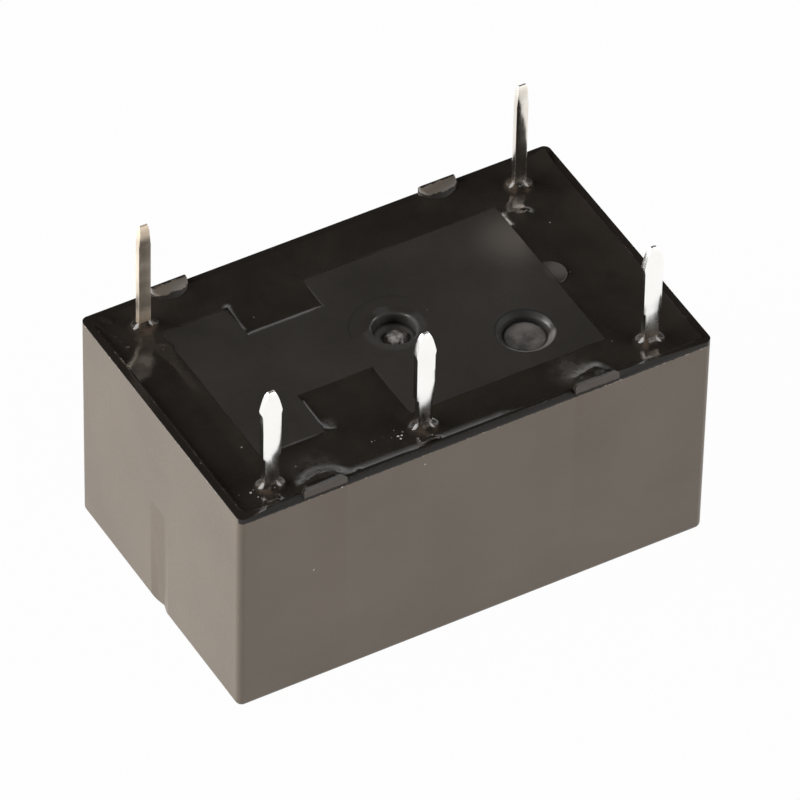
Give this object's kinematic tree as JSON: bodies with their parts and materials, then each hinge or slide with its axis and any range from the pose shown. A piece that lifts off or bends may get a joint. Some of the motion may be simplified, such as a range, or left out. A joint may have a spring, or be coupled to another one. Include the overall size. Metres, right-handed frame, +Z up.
{
  "type": "pcb power relay",
  "caption": "Sealed printed circuit board relay in a black plastic case, pins up, with one changeover contact moved by a coil and a hinged armature.",
  "frame": {"origin": "middle of the closed case face, which is the underside as the relay lies with its pins up", "axes": "+X along the long side towards the common terminal, +Y across towards the coil terminals, +Z up along the pins"},
  "size_m": [0.0158, 0.0096, 0.0116],
  "materials": {
    "case_plastic": "fine matt moulded",
    "base_plastic": "matt moulded",
    "sealing_resin": "glossy cast",
    "tinned_strip": "tinned",
    "solder": "bright solder",
    "enamelled_copper": "enamelled",
    "coil_tape": "clear amber",
    "soft_iron": "plated",
    "spring_strip": "rolled",
    "contact_silver": "silver alloy",
    "rivet_metal": "staked",
    "inner_plastic": "moulded"
  },
  "bodies": {
    "relay_body": {"base": "base_plastic", "bobbin": "inner_plastic", "case": "case_plastic", "coil_lead_left": "enamelled_copper", "coil_lead_right": "enamelled_copper", "coil_solder_left": "solder", "coil_solder_right": "solder", "coil_tape": "coil_tape", "coil_terminal_left": "tinned_strip", "coil_terminal_right": "tinned_strip", "coil_winding": "enamelled_copper", "common_terminal": "tinned_strip", "core": "soft_iron", "hinge_spring": "spring_strip", "normally_closed_contact": "contact_silver", "normally_closed_terminal": "tinned_strip", "normally_open_contact": "contact_silver", "normally_open_terminal": "tinned_strip", "pole_plate": "soft_iron", "sealing_resin": "sealing_resin", "spring_rivets": "rivet_metal", "vent_seal": "sealing_resin", "yoke": "soft_iron", "yoke_rivets": "rivet_metal"},
    "armature": {"armature": "soft_iron", "armature_rivets": "rivet_metal", "card": "inner_plastic"},
    "contact_spring": {"moving_spring": "spring_strip", "moving_contact": "contact_silver"}
  },
  "joints": [
    {"name": "armature_rock", "type": "hinge", "parent": "relay_body", "child": "armature", "pos_m": [0.00625, -0.00075, 0.00345], "axis": [0, 0, -1], "range_deg": [0, 1.95], "stiffness_Nm_per_rad": 0.002, "deforming": ["hinge_spring"]},
    {"name": "contact_spring_bend", "type": "hinge", "parent": "relay_body", "child": "contact_spring", "pos_m": [0.00635, -0.00302, 0.00345], "axis": [0, 0, -1], "range_deg": [0, 1.95], "stiffness_Nm_per_rad": 0.0005, "deforming": ["moving_spring"]}
  ],
  "couplings": [
    {"joint": "contact_spring_bend", "follows": "armature_rock", "ratio": 0.99234}
  ]
}
